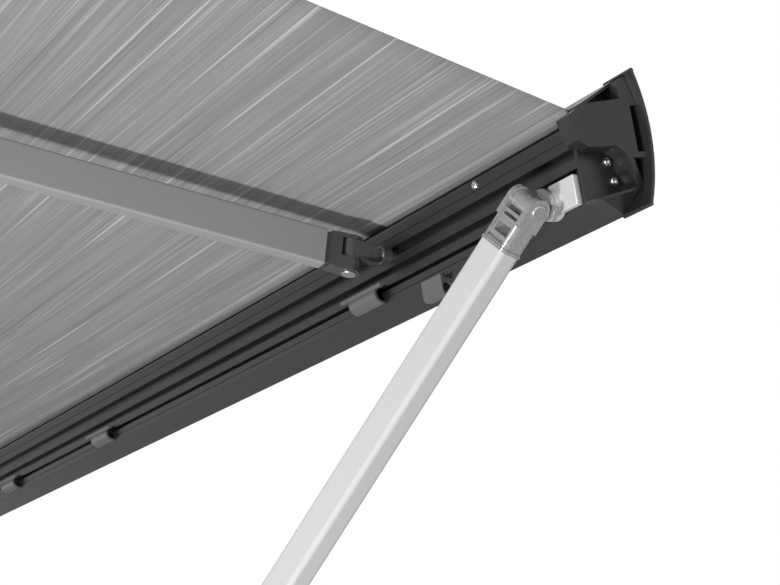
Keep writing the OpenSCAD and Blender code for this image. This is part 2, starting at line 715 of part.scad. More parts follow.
// Collar on the outer profile's lower end, with two ears for the lever's pin
module leg_clamp(side) color("#3a3b3e") at_side(side) leg_place() difference() {
    union() {
        bar(leg_t + 2*clamp_t, leg_w + 2*clamp_t, 7, tube_end - clamp_l/2, tube_end + clamp_l/2);
        for (s = hand) translate([tube_end - 5, leg_t/2, s*9 - 2]) cube([14, 12, 4]);
    }
    bar(leg_t, leg_w, 5, tube_end - clamp_l, tube_end);
    bar(inner_t + slide_gap, inner_w + slide_gap, 3.5, tube_end - 1, tube_end + clamp_l);
    translate([tube_end + 2, leg_t/2 + 7.5, 0]) rod(lever_pin_r, 40);
}
module leg_clamp_left() leg_clamp(-1);
module leg_clamp_right() leg_clamp(1);

module clamp_lever(side) color("black") at_side(side) leg_place()
    translate([tube_end + 2, leg_t/2 + 7.5, 0]) {
        rod(lever_pin_r - run, 22);
        difference() {
            rod(4, 14 - 2*gap);
            translate([0, -8 - gap - (7.5 - clamp_t - 4), 0]) cube([20, 8, 20], center = true);
        }
        translate([-lever_l, 0, 0]) bar(3.5, 14 - 2*gap, 1.5, 0, lever_l);
    }
module clamp_lever_left() clamp_lever(-1);
module clamp_lever_right() clamp_lever(1);

module leg_inner(side) color("gainsboro") at_side(side) leg_place() {
    difference() {
        bar(inner_t, inner_w, 3, inner_end - inner_l, inner_end);
        bar(inner_t - 2*inner_wall, inner_w - 2*inner_wall, 2, inner_end - inner_l - 1, inner_end + 1);
    }
    difference() {
        union() {
            bar(inner_t - 2*inner_wall, inner_w - 2*inner_wall, 2, inner_end - 20, inner_end + 1);
            translate([inner_end, -5, -4]) cube([ankle_l, 10, 8]);
            translate([inner_end + ankle_l, 0, 0]) rod(5, 8);
        }
        translate([inner_end + ankle_l, 0, 0]) rod(ankle_r + run, 20);
    }
}
module leg_inner_left() leg_inner(-1);
module leg_inner_right() leg_inner(1);

module leg_foot(side) color("black") at_side(side) leg_place() translate([inner_end + ankle_l, 0, 0]) {
    rod(ankle_r, 22);
    for (s = hand) translate([0, 0, s*8]) {
        rod(6, 7);
        translate([0, -6, -3.5]) cube([9, 12, 7]);
    }
    bar(2*foot_r, leg_w, 8, 8, 8 + foot_t);
}
module leg_foot_left() leg_foot(-1);
module leg_foot_right() leg_foot(1);

wall_brackets();
cassette_housing();
cassette_cap_left();
cassette_cap_right();
shoulder_brackets();
shoulder_pins();
roller_bush();
gearbox();
roller_tube();
roller_plug_left();
roller_plug_right();
worm_wheel();
fabric_roll();
worm_shaft();
canopy_fabric();
keder_cord();
shoulder_casting_left();
shoulder_casting_right();
upper_arm_left();
upper_arm_right();
elbow_fork_left();
elbow_fork_right();
elbow_pin_left();
elbow_pin_right();
elbow_tongue_left();
elbow_tongue_right();
forearm_left();
forearm_right();
arm_spring_left();
arm_spring_right();
wrist_casting_left();
wrist_casting_right();
wrist_pins();
wrist_brackets();
lead_rail();
rail_cap_left();
rail_cap_right();
cap_screws();
fabric_screws();
leg_clips();
catch_blocks();
leg_brackets();
leg_swivel_left();
leg_swivel_right();
leg_pin_left();
leg_pin_right();
leg_head_left();
leg_head_right();
leg_tube_left();
leg_tube_right();
leg_clamp_left();
leg_clamp_right();
leg_inner_left();
leg_inner_right();
clamp_lever_left();
clamp_lever_right();
leg_foot_left();
leg_foot_right();
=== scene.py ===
import json
import math

import bmesh
import bpy
from mathutils import Matrix, Vector


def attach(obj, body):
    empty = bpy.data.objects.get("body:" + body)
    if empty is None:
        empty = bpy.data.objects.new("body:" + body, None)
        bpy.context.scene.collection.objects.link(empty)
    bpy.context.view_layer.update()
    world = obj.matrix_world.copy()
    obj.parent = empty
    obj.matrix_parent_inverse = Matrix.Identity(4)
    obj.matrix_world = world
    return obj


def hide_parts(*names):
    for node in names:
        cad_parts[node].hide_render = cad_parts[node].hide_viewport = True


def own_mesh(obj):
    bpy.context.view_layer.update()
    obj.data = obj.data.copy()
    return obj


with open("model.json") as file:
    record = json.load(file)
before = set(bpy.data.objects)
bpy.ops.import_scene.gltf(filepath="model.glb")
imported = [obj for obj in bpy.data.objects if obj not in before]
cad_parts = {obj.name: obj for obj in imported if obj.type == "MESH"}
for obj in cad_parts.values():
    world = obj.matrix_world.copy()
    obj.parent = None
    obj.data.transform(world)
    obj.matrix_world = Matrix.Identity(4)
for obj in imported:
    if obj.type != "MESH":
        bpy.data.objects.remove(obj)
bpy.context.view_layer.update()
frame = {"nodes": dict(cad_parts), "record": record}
nodes = frame["nodes"]
print("stage: frame loaded,", len(nodes), "nodes")

# Camera, solved from the rail's edges, the arm and the leg

railEnd = Vector((-1.55, -2.260760, -0.695623))  # left end of the fabric edge
shot = {
    "fromRailEnd": (-1.0474, 0.9296, -0.4469),
    "right": (-0.53097, -0.83434, -0.14812),
    "up": (-0.27257, 0.00265, 0.96213),
    "forward": (0.80236, -0.55124, 0.22882),
    "lens": 78.46,
    "sensor": 36.0,
    "clip": (0.05, 60),
}
camData = bpy.data.cameras.new("viewCamera")
camData.lens = shot["lens"]
camData.sensor_width = shot["sensor"]
camData.clip_start, camData.clip_end = shot["clip"]
camera = bpy.data.objects.new("viewCamera", camData)
bpy.context.scene.collection.objects.link(camera)
turn = Matrix((shot["right"], shot["up"], [-v for v in shot["forward"]])).transposed()
stand = railEnd + Vector(shot["fromRailEnd"])
camera.matrix_world = Matrix.Translation(stand) @ turn.to_4x4()
bpy.context.scene.camera = camera
bpy.context.scene.view_settings.view_transform = "Standard"
print("stage: camera")


# Node helpers

def newGroup(name, inputs, outputs):
    group = bpy.data.node_groups.new(name, "ShaderNodeTree")
    for label, kind, default in inputs:
        item = group.interface.new_socket(label, in_out="INPUT", socket_type="NodeSocket" + kind)
        item.default_value = default
    for label, kind in outputs:
        group.interface.new_socket(label, in_out="OUTPUT", socket_type="NodeSocket" + kind)
    return group, group.nodes.new("NodeGroupInput"), group.nodes.new("NodeGroupOutput")


def addNode(tree, kind, **settings):
    node = tree.nodes.new("ShaderNode" + kind)
    for key, value in settings.items():
        if key.startswith("in_"):
            node.inputs[key[3:]].default_value = value
        else:
            setattr(node, key, value)
    return node


def mathNode(tree, operation, a, b=None, clamp=False):
    node = tree.nodes.new("ShaderNodeMath")
    node.operation = operation
    node.use_clamp = clamp
    for slot, value in enumerate((a, b)):
        if value is None:
            continue
        if isinstance(value, (int, float)):
            node.inputs[slot].default_value = value
        else:
            tree.links.new(value, node.inputs[slot])
    return node.outputs[0]


def mixColor(tree, factor, a, b):
    node = tree.nodes.new("ShaderNodeMix")
    node.data_type = "RGBA"
    for slot, value in ((0, factor), (6, a), (7, b)):
        if hasattr(value, "links"):
            tree.links.new(value, node.inputs[slot])
        else:
            node.inputs[slot].default_value = value
    return node.outputs[2]


# Two noises sway a skin's colour and roughness. The first one also makes its relief.
def swayFinish(group, groupIn, groupOut, first, share, second, depth):
    blend = mathNode(group, "ADD", mathNode(group, "MULTIPLY", first, share),
                     mathNode(group, "MULTIPLY", second, 1 - share))
    swing = mathNode(group, "MULTIPLY", mathNode(group, "SUBTRACT", blend, 0.5), groupIn.outputs["Tone"])
    level = mathNode(group, "ADD", mathNode(group, "MULTIPLY", swing, 4.0), 1.0)
    shade = addNode(group, "VectorMath", operation="SCALE")
    group.links.new(groupIn.outputs["Color"], shade.inputs[0])
    group.links.new(level, shade.inputs["Scale"])
    rough = mathNode(group, "ADD", groupIn.outputs["Roughness"], swing, True)
    bump = addNode(group, "Bump", in_Distance=depth)
    group.links.new(groupIn.outputs["Relief"], bump.inputs["Strength"])
    group.links.new(first, bump.inputs["Height"])
    for label, source in (("Color", shade.outputs[0]), ("Roughness", rough), ("Normal", bump.outputs[0])):
        group.links.new(source, groupOut.inputs[label])


skinInputs = [("Vector", "Vector", (0, 0, 0)), ("Color", "Color", (0.5, 0.5, 0.5, 1)),
              ("Roughness", "Float", 0.5), ("Tone", "Float", 0.05), ("Relief", "Float", 0.1)]
skinOutputs = [("Color", "Color"), ("Roughness", "Float"), ("Normal", "Vector")]

# Grain: even, fine mottling for cast, moulded and painted skins
grainGroup, grainIn, grainOut = newGroup("skinGrain", skinInputs + [("Scale", "Float", 900)], skinOutputs)
fine = addNode(grainGroup, "TexNoise", in_Detail=3.0, in_Roughness=0.6)
broad = addNode(grainGroup, "TexNoise", in_Scale=9.0, in_Detail=4.0)
grainGroup.links.new(grainIn.outputs["Vector"], fine.inputs["Vector"])
grainGroup.links.new(grainIn.outputs["Vector"], broad.inputs["Vector"])
grainGroup.links.new(grainIn.outputs["Scale"], fine.inputs["Scale"])
swayFinish(grainGroup, grainIn, grainOut, fine.outputs[0], 0.6, broad.outputs[0], 0.0003)

# Draw lines: the long fine lines that an extrusion die leaves, along X
drawGroup, drawIn, drawOut = newGroup("drawLines", skinInputs, skinOutputs)
stretchMap = addNode(drawGroup, "Mapping", in_Scale=(1.5, 900, 900))
lines = addNode(drawGroup, "TexNoise", in_Scale=1.0, in_Detail=3.0)
cloud = addNode(drawGroup, "TexNoise", in_Scale=6.0, in_Detail=3.0)
drawGroup.links.new(drawIn.outputs["Vector"], stretchMap.inputs["Vector"])
drawGroup.links.new(stretchMap.outputs[0], lines.inputs["Vector"])
drawGroup.links.new(drawIn.outputs["Vector"], cloud.inputs["Vector"])
swayFinish(drawGroup, drawIn, drawOut, lines.outputs[0], 0.65, cloud.outputs[0], 0.0002)


# Streaks: long light and dark yarns over a woven ground.
# The map is in metres, u along the rail and v down the cloth.
yarnGroup, yIn, yOut = newGroup(
    "wovenStreaks",
    [("Vector", "Vector", (0, 0, 0)), ("Ground", "Color", (0.2, 0.2, 0.2, 1)),
     ("Light", "Color", (0.6, 0.6, 0.6, 1)), ("Dark", "Color", (0.1, 0.1, 0.1, 1)),
     ("Relief", "Float", 0.2)],
    skinOutputs)


def yarnNoise(scale, shift, detail=2.0):
    place = addNode(yarnGroup, "Mapping", in_Scale=scale, in_Location=shift)
    noise = addNode(yarnGroup, "TexNoise", in_Scale=1.0, in_Detail=detail, in_Roughness=0.55)
    yarnGroup.links.new(yIn.outputs["Vector"], place.inputs["Vector"])
    yarnGroup.links.new(place.outputs[0], noise.inputs["Vector"])
    return noise.outputs[0]


def yarnRamp(value, low, high):
    ramp = addNode(yarnGroup, "MapRange", interpolation_type="SMOOTHSTEP")
    ramp.inputs["From Min"].default_value = low
    ramp.inputs["From Max"].default_value = high
    yarnGroup.links.new(value, ramp.inputs["Value"])
    return ramp.outputs[0]


bandTone = yarnNoise((0.35, 22, 1), (3.1, 0.4, 0))
groupTone = yarnNoise((1.6, 70, 1), (7.7, 2.3, 0), 3.0)
wideYarn = yarnRamp(yarnNoise((2.2, 190, 1), (0.3, 9.1, 0), 1.0), 0.60, 0.76)
fineYarn = yarnRamp(yarnNoise((3.0, 430, 1), (5.2, 1.7, 0)), 0.50, 0.72)
shortYarn = yarnRamp(yarnNoise((6.5, 760, 1), (2.9, 4.4, 0)), 0.52, 0.72)
darkYarn = yarnRamp(yarnNoise((2.0, 300, 1), (8.8, 6.1, 0)), 0.52, 0.74)
gate = yarnRamp(groupTone, 0.36, 0.62)
softMask = mathNode(yarnGroup, "ADD", mathNode(yarnGroup, "MULTIPLY", fineYarn, 0.42),
                    mathNode(yarnGroup, "MULTIPLY", shortYarn, 0.24))
gatedMask = mathNode(yarnGroup, "MULTIPLY", softMask, mathNode(yarnGroup, "ADD", gate, 0.35))
lightMask = mathNode(yarnGroup, "ADD", mathNode(yarnGroup, "MULTIPLY", wideYarn, 0.85), gatedMask, True)
darkMask = mathNode(yarnGroup, "MULTIPLY", darkYarn, 0.70, True)
bandSwing, groupSwing = (
    mathNode(yarnGroup, "MULTIPLY", mathNode(yarnGroup, "SUBTRACT", noise, 0.5), 0.35)
    for noise in (bandTone, groupTone))
tone = mathNode(yarnGroup, "ADD", bandSwing, mathNode(yarnGroup, "ADD", groupSwing, 1.0))
ground = addNode(yarnGroup, "VectorMath", operation="SCALE")
yarnGroup.links.new(yIn.outputs["Ground"], ground.inputs[0])
yarnGroup.links.new(tone, ground.inputs["Scale"])
toned = mixColor(yarnGroup, darkMask, ground.outputs[0], yIn.outputs["Dark"])
yarnGroup.links.new(mixColor(yarnGroup, lightMask, toned, yIn.outputs["Light"]), yOut.inputs["Color"])
weave = yarnNoise((1400, 1900, 1), (0, 0, 0), 1.0)
dull = mathNode(yarnGroup, "ADD", mathNode(yarnGroup, "MULTIPLY", weave, 0.2), 0.68)
yarnGroup.links.new(dull, yOut.inputs["Roughness"])
bump = addNode(yarnGroup, "Bump", in_Distance=0.0004)
yarnGroup.links.new(yIn.outputs["Relief"], bump.inputs["Strength"])
ridges = mathNode(yarnGroup, "ADD", weave, mathNode(yarnGroup, "MULTIPLY", wideYarn, 0.5))
yarnGroup.links.new(ridges, bump.inputs["Height"])
yarnGroup.links.new(bump.outputs[0], yOut.inputs["Normal"])


def startFinish(name):
    mat = bpy.data.materials.new(name)
    mat.use_nodes = True
    tree = mat.node_tree
    return mat, tree, tree.nodes["Principled BSDF"], tree.nodes.new("ShaderNodeTexCoord")


def skinFinish(name, group, color, metallic, shine, **settings):
    mat, tree, skin, coords = startFinish(name)
    effect = tree.nodes.new("ShaderNodeGroup")
    effect.node_tree = group
    effect.inputs["Color"].default_value = (*color, 1)
    for key, value in settings.items():
        effect.inputs[key].default_value = value
    tree.links.new(coords.outputs["Object"], effect.inputs["Vector"])
    for key, socket in (("Color", "Base Color"), ("Roughness", "Roughness"), ("Normal", "Normal")):
        tree.links.new(effect.outputs[key], skin.inputs[socket])
    skin.inputs["Metallic"].default_value = metallic
    skin.inputs["Specular IOR Level"].default_value = shine
    return mat


def grainFinish(name, color, roughness, metallic=0.0, scale=900, tone=0.06, relief=0.1, shine=0.5):
    return skinFinish(name, grainGroup, color, metallic, shine,
                      Roughness=roughness, Scale=scale, Tone=tone, Relief=relief)


def drawnFinish(name, color, roughness, metallic, tone=0.04, shine=0.5):
    return skinFinish(name, drawGroup, color, metallic, shine, Roughness=roughness, Tone=tone, Relief=0.05)


def clothFinish(name, ground, light, dark):
    mat, tree, skin, _ = startFinish(name)
    place = addNode(tree, "UVMap", uv_map="cloth")
    yarn = tree.nodes.new("ShaderNodeGroup")
    yarn.node_tree = yarnGroup
    for key, color in (("Ground", ground), ("Light", light), ("Dark", dark)):
        yarn.inputs[key].default_value = (*color, 1)
    tree.links.new(place.outputs[0], yarn.inputs["Vector"])
    for key, socket in (("Color", "Base Color"), ("Roughness", "Roughness"), ("Normal", "Normal")):
        tree.links.new(yarn.outputs[key], skin.inputs[socket])
    skin.inputs["Sheen Weight"].default_value = 0.12
    skin.inputs["Sheen Roughness"].default_value = 0.5
    return mat


finishes = {
    "bracket_steel": grainFinish("zincBracket", (0.30, 0.31, 0.32), 0.5, 0.7),
    "cassette_white": grainFinish("whitePowderCoat", (0.78, 0.78, 0.77), 0.38, tone=0.02, scale=1500),
    "cap_black": grainFinish("blackMoulding", (0.017, 0.0175, 0.019), 0.30,
                             scale=1600, relief=0.15, shine=0.45),
    "cast_silver": grainFinish("castSilver", (0.55, 0.56, 0.57), 0.36, 0.8,
                               scale=700, tone=0.08, relief=0.2),
    "pin_steel": grainFinish("turnedSteel", (0.60, 0.60, 0.60), 0.28, 0.95, scale=1200),
    "bush_plastic": grainFinish("bushPlastic", (0.05, 0.05, 0.05), 0.45),
    "gear_black": grainFinish("gearCasePlastic", (0.05, 0.05, 0.055), 0.45),
    "roller_aluminium": drawnFinish("rollerMill", (0.60, 0.61, 0.62), 0.35, 0.9),
    "gear_brass": grainFinish("wheelBrass", (0.70, 0.52, 0.24), 0.3, 0.95),
    "canopy_grey": clothFinish("canopyCloth", ground=(0.182, 0.186, 0.184),
                               light=(0.38, 0.385, 0.385), dark=(0.100, 0.103, 0.102)),
    "keder_white": grainFinish("kederRubber", (0.55, 0.55, 0.54), 0.55),
    "arm_aluminium": drawnFinish("armAnodised", (0.31, 0.31, 0.314), 0.36, 0.3),
    "cast_dark": grainFinish("darkCasting", (0.09, 0.091, 0.095), 0.28, 0.5,
                             scale=700, tone=0.14, relief=0.3),
    "spring_steel": grainFinish("springSteel", (0.6, 0.6, 0.6), 0.35, 0.9),
    "rail_grey": drawnFinish("railAnodised", (0.006, 0.0062, 0.0066), 0.30, 0.0, tone=0.08, shine=1.0),
    "screw_steel": grainFinish("brightScrew", (0.72, 0.72, 0.72), 0.22, 1.0),
    "clip_plastic": grainFinish("clipMoulding", (0.09, 0.092, 0.096), 0.32, relief=0.2),
    "bracket_bright": grainFinish("brightBracket", (0.60, 0.605, 0.61), 0.36, 0.4, tone=0.1),
    "knuckle_cast": grainFinish("knuckleCasting", (0.42, 0.425, 0.432), 0.24, 0.6,
                                scale=420, tone=0.25, relief=0.4),
    "leg_aluminium": drawnFinish("legAnodised", (0.49, 0.494, 0.50), 0.60, 0.0, shine=0.1),
    "clamp_plastic": grainFinish("clampMoulding", (0.07, 0.07, 0.075), 0.5),
    "leg_inner_aluminium": drawnFinish("legInnerAnodised", (0.70, 0.71, 0.72), 0.34, 0.4),
    "foot_rubber": grainFinish("footRubber", (0.03, 0.03, 0.03), 0.7),
}
threadDark = grainFinish("stitchThread", (0.16, 0.16, 0.165), 0.8, scale=2500, tone=0.1)
slotOf = {part["node"]: part["material_slot"] for part in frame["record"]["subparts"]}
bodies = frame["record"]["behaviour"]["bodies"]
bodyOf = {name: body for body, names in bodies.items() for name in names}
for name, obj in nodes.items():
    obj.data.materials.clear()
    obj.data.materials.append(finishes[slotOf[name]])
print("stage: finishes")

# Edges: a merged copy of each rigid node gets small broken edges, as castings, mouldings and sawn ends have

edges = {
    "other": 0.0003,
    "leg_head": 0.0008, "leg_swivel": 0.0008, "leg_brackets": 0.0010, "wrist_casting": 0.0009,
    "wrist_brackets": 0.0008, "rail_cap": 0.0006, "leg_clips": 0.0006, "catch_blocks": 0.0008,
    "shoulder_casting": 0.0009, "shoulder_brackets": 0.0008, "elbow_fork": 0.0009, "elbow_tongue": 0.0009,
    "wrist_pins": 0.0005, "shoulder_pins": 0.0005, "elbow_pin": 0.0005, "leg_pin": 0.0005,
    "lead_rail": 0.0004, "cassette_housing": 0.0006, "cassette_cap": 0.0012, "wall_brackets": 0.0006,
    "leg_clamp": 0.0008, "clamp_lever": 0.0006, "leg_foot": 0.0015,
}
ownPieces = ["canopy_fabric", "fabric_roll", "cap_screws", "fabric_screws"]  # made further below


def kindOf(name):
    return name.removesuffix("_left").removesuffix("_right")


def freeze(obj):
    graph = bpy.context.evaluated_depsgraph_get()
    made = obj.evaluated_get(graph)
    mesh = bpy.data.meshes.new_from_object(made, preserve_all_data_layers=True, depsgraph=graph)
    obj.modifiers.clear()
    obj.data = mesh
    return obj


def addPiece(name, mesh):
    obj = bpy.data.objects.new(name, mesh)
    bpy.context.scene.collection.objects.link(obj)
    return obj


def camelCase(name):
    first, *rest = name.split("_")
    return first + "".join(word.capitalize() for word in rest)


def smooth(mesh):
    mesh.polygons.foreach_set("use_smooth", [True] * len(mesh.polygons))


def breakEdges(name):
    bm = bmesh.new()
    bm.from_mesh(nodes[name].data)
    bmesh.ops.remove_doubles(bm, verts=bm.verts, dist=2e-6)
    bmesh.ops.dissolve_limit(bm, angle_limit=math.radians(1), verts=bm.verts, edges=bm.edges)
    mesh = bpy.data.meshes.new(name + "Edged")
    bm.to_mesh(mesh)
    bm.free()
    piece = addPiece(camelCase(name) + "Part", mesh)
    mesh.materials.append(finishes[slotOf[name]])
    smooth(mesh)
    mesh.set_sharp_from_angle(angle=math.radians(24))
    bevel = piece.modifiers.new("broken", "BEVEL")
    bevel.width = edges.get(kindOf(name), edges["other"])
    bevel.segments = 2
    bevel.limit_method = "ANGLE"
    bevel.angle_limit = math.radians(32)
    bevel.use_clamp_overlap = True
    even = piece.modifiers.new("even", "WEIGHTED_NORMAL")
    even.keep_sharp = True
    freeze(piece)
    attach(piece, bodyOf[name])
    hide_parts(name)


for name in nodes:
    if name not in ownPieces:
        breakEdges(name)
print("stage: edges")

# Canopy cloth: one sheet from the roll to the rail, its hem folded back and sewn

cloth = {
    "width": 3.099,
    "leave": (-0.052527, -0.000282),
    "hem": (-2.279760, -0.685468),
    "sag": 0.0015,
    "thick": 0.0006,
    "across": 62,
    "along": 96,
    "pitch": 16.049,
    "travel": 2.265534,
}
hem = {
    "wide": 0.0225,
    "end": 0.003,
    "narrower": 0.002,
    "gap": 0.0001,
    "along": 2,
    "seamIn": 0.0185,
    "seamShort": 0.02,
    "stitch": 0.0032,
    "stitchPitch": 0.0046,
    "thread": 0.0007,
}
clothLength = math.dist(cloth["leave"], cloth["hem"])


def clothPoint(x, t, under=0.0):
    (yFrom, zFrom), (yTo, zTo) = cloth["leave"], cloth["hem"]
    sag = cloth["sag"] * 4 * t * (1 - t)
    return (x, yFrom + t * (yTo - yFrom), zFrom + t * (zTo - zFrom) - sag - under)


def makeSheet(name, width, tFrom, tTo, under, along):
    across = cloth["across"]
    mesh = bpy.data.meshes.new(name)
    bm = bmesh.new()
    uv = bm.loops.layers.uv.new("cloth")
    steps = [tFrom + (tTo - tFrom) * j / along for j in range(along + 1)]
    rows = [[bm.verts.new(clothPoint((i / across - 0.5) * width, t, under)) for i in range(across + 1)]
            for t in steps]
    for j in range(along):
        for i in range(across):
            face = bm.faces.new((rows[j][i], rows[j + 1][i], rows[j + 1][i + 1], rows[j][i + 1]))
            for loop, (a, b) in zip(face.loops, ((i, j), (i, j + 1), (i + 1, j + 1), (i + 1, j))):
                loop[uv].uv = (a / across * width, steps[b] * clothLength)
    bm.normal_update()
    bm.to_mesh(mesh)
    bm.free()
    smooth(mesh)
    piece = addPiece(name, mesh)
    wall = piece.modifiers.new("thick", "SOLIDIFY")
    wall.thickness = cloth["thick"]
    wall.offset = 0
    mesh.materials.append(finishes["canopy_grey"])
    return piece


def followRail(piece):
    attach(piece, "cassette")
    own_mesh(piece)


canopy = makeSheet("canopySheet", cloth["width"], 0, 1, 0, cloth["along"])
hemFold = makeSheet("canopyHem", cloth["width"] - hem["narrower"], 1 - hem["wide"] / clothLength,
                    1 - hem["end"] / clothLength, cloth["thick"] + hem["gap"], hem["along"])


def geoTree(name, inputs):
    tree = bpy.data.node_groups.new(name, "GeometryNodeTree")
    tree.is_modifier = True
    ids = {}
    for label, kind, default in [("Geometry", "Geometry", None)] + inputs:
        item = tree.interface.new_socket(label, in_out="INPUT", socket_type="NodeSocket" + kind)
        if default is not None:
            item.default_value = default
        ids[label] = item.identifier
    tree.interface.new_socket("Geometry", in_out="OUTPUT", socket_type="NodeSocketGeometry")
    return tree, tree.nodes.new("NodeGroupInput"), tree.nodes.new("NodeGroupOutput"), ids


def geoNode(tree, kind, links=(), **settings):
    node = tree.nodes.new(kind)
    for key, value in settings.items():
        if key.startswith("in_"):
            node.inputs[key[3:].replace("_", " ")].default_value = value
        else:
            setattr(node, key, value)
    for socket, source in links:
        tree.links.new(source, node.inputs[socket])
    return node


def geoMath(tree, operation, a, b):
    node = tree.nodes.new("ShaderNodeMath")
    node.operation = operation
    for slot, value in enumerate((a, b)):
        if isinstance(value, (int, float)):
            node.inputs[slot].default_value = value
        else:
            tree.links.new(value, node.inputs[slot])
    return node.outputs[0]


def runTree(piece, tree, ids, values):
    modifier = piece.modifiers.new("made", "NODES")
    modifier.node_group = tree
    for label, value in values.items():
        modifier[ids[label]] = value
    return freeze(piece)


# Stitches: short rounded threads, one at each point of a row
sewTree, sewIn, sewOut, sewIds = geoTree(
    "stitchRow", [("Row Length", "Float", 1.0), ("Pitch", "Float", 0.005), ("Stitch", "Float", 0.003),
                  ("Thread", "Float", 0.001), ("Material", "Material", None)])
half = geoMath(sewTree, "MULTIPLY", sewIn.outputs["Row Length"], 0.5)
rowStart = geoNode(sewTree, "ShaderNodeCombineXYZ", [("X", geoMath(sewTree, "MULTIPLY", half, -1.0))])
stepX = geoNode(sewTree, "ShaderNodeCombineXYZ", [("X", sewIn.outputs["Pitch"])])
many = geoMath(sewTree, "DIVIDE", sewIn.outputs["Row Length"], sewIn.outputs["Pitch"])
row = geoNode(sewTree, "GeometryNodeMeshLine", [("Count", many), ("Start Location", rowStart.outputs[0]),
                                                ("Offset", stepX.outputs[0])])
bead = geoNode(sewTree, "GeometryNodeMeshUVSphere", in_Segments=8, in_Rings=5, in_Radius=0.5)
beadSize = geoNode(sewTree, "ShaderNodeCombineXYZ",
                   [("X", sewIn.outputs["Stitch"]), ("Y", sewIn.outputs["Thread"]),
                    ("Z", sewIn.outputs["Thread"])])
sewn = geoNode(sewTree, "GeometryNodeInstanceOnPoints",
               [("Points", row.outputs[0]), ("Instance", bead.outputs["Mesh"]),
                ("Scale", beadSize.outputs[0])])
sewReal = geoNode(sewTree, "GeometryNodeRealizeInstances", [("Geometry", sewn.outputs[0])])
sewMat = geoNode(sewTree, "GeometryNodeSetMaterial",
                 [("Geometry", sewReal.outputs[0]), ("Material", sewIn.outputs["Material"])])
sewTree.links.new(sewMat.outputs[0], sewOut.inputs["Geometry"])


def makeStitches(name, under):
    piece = addPiece(name, bpy.data.meshes.new(name))
    runTree(piece, sewTree, sewIds,
            {"Row Length": cloth["width"] - hem["seamShort"], "Pitch": hem["stitchPitch"],
             "Stitch": hem["stitch"], "Thread": hem["thread"], "Material": threadDark})
    piece.data.transform(Matrix.Translation(clothPoint(0, 1 - hem["seamIn"] / clothLength, under)))
    followRail(piece)
    return piece


seamUnder = makeStitches("hemStitchesUnder", cloth["thick"] * 1.5 + 2 * hem["gap"])
seamOver = makeStitches("hemStitchesOver", -cloth["thick"] * 0.5 - hem["gap"])
for piece in (canopy, hemFold):
    followRail(piece)
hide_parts("canopy_fabric")
print("stage: canopy")

# Wound cloth on the roller: one long spiral, with its layers showing at the ends

wound = {
    "width": cloth["width"],
    "centre": (-0.044, -0.028),
    "inner": 0.02215,
    "outer": 0.02855,
    "turns": 11,
    "thick": 0.00046,
    "steps": 40,
}


def makeWound():
    mesh = bpy.data.meshes.new("woundCloth")
    bm = bmesh.new()
    uv = bm.loops.layers.uv.new("cloth")
    count = wound["turns"] * wound["steps"]
    y, z = wound["centre"]
    w, thick = wound["width"], wound["thick"]
    length = 0
    stations = []
    last = None
    for k in range(count + 1):
        t = k / count
        angle = 2 * math.pi * wound["turns"] * t
        r = wound["inner"] + thick / 2 + (wound["outer"] - wound["inner"] - thick) * t
        ring = []
        for side in (-1, 1):
            face = r + side * thick / 2
            for x in (-w / 2, w / 2):
                ring.append(bm.verts.new((x, y + face * math.cos(angle), z + face * math.sin(angle))))
        here = (r * math.cos(angle), r * math.sin(angle))
        length += math.dist(here, last) if last else 0
        last = here
        stations.append((ring, length))

    def quad(verts, uvs):
        for loop, place in zip(bm.faces.new(verts).loops, uvs):
            loop[uv].uv = place

    for (a, la), (b, lb) in zip(stations, stations[1:]):
        quad((a[0], a[1], b[1], b[0]), ((0, la), (w, la), (w, lb), (0, lb)))
        quad((a[2], b[2], b[3], a[3]), ((0, la), (0, lb), (w, lb), (w, la)))
        quad((a[0], b[0], b[2], a[2]), ((0, la), (0, lb), (0, lb), (0, la)))
        quad((a[1], a[3], b[3], b[1]), ((w, la), (w, la), (w, lb), (w, lb)))
    first, final = stations[0][0], stations[-1][0]
    quad((first[0], first[2], first[3], first[1]), ((0, 0), (0, 0), (w, 0), (w, 0)))
    quad((final[0], final[1], final[3], final[2]), ((0, length), (w, length), (w, length), (0, length)))
    bmesh.ops.recalc_face_normals(bm, faces=bm.faces)
    bm.to_mesh(mesh)
    bm.free()
    smooth(mesh)
    mesh.set_sharp_from_angle(angle=math.radians(35))
    mesh.materials.append(finishes["canopy_grey"])
    return addPiece("woundCloth", mesh), length


roll, rollLength = makeWound()
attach(roll, "roller")
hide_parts("fabric_roll")
print("stage: wound cloth,", round(rollLength, 3), "m")

# Screws: pan heads with a hex socket, one at each point, turned to face the way its point says

screwTree, scIn, scOut, scIds = geoTree(
    "panScrews", [("Head Radius", "Float", 0.004), ("Head Height", "Float", 0.0024),
                  ("Socket Radius", "Float", 0.0015), ("Material", "Material", None)])
radius, height = scIn.outputs["Head Radius"], scIn.outputs["Head Height"]


def times(value, factor):
    return geoMath(screwTree, "MULTIPLY", value, factor)


def raised(shape, lift):
    up = geoNode(screwTree, "ShaderNodeCombineXYZ", [("Z", lift)])
    return geoNode(screwTree, "GeometryNodeTransform",
                   [("Geometry", shape.outputs["Mesh"]), ("Translation", up.outputs[0])])


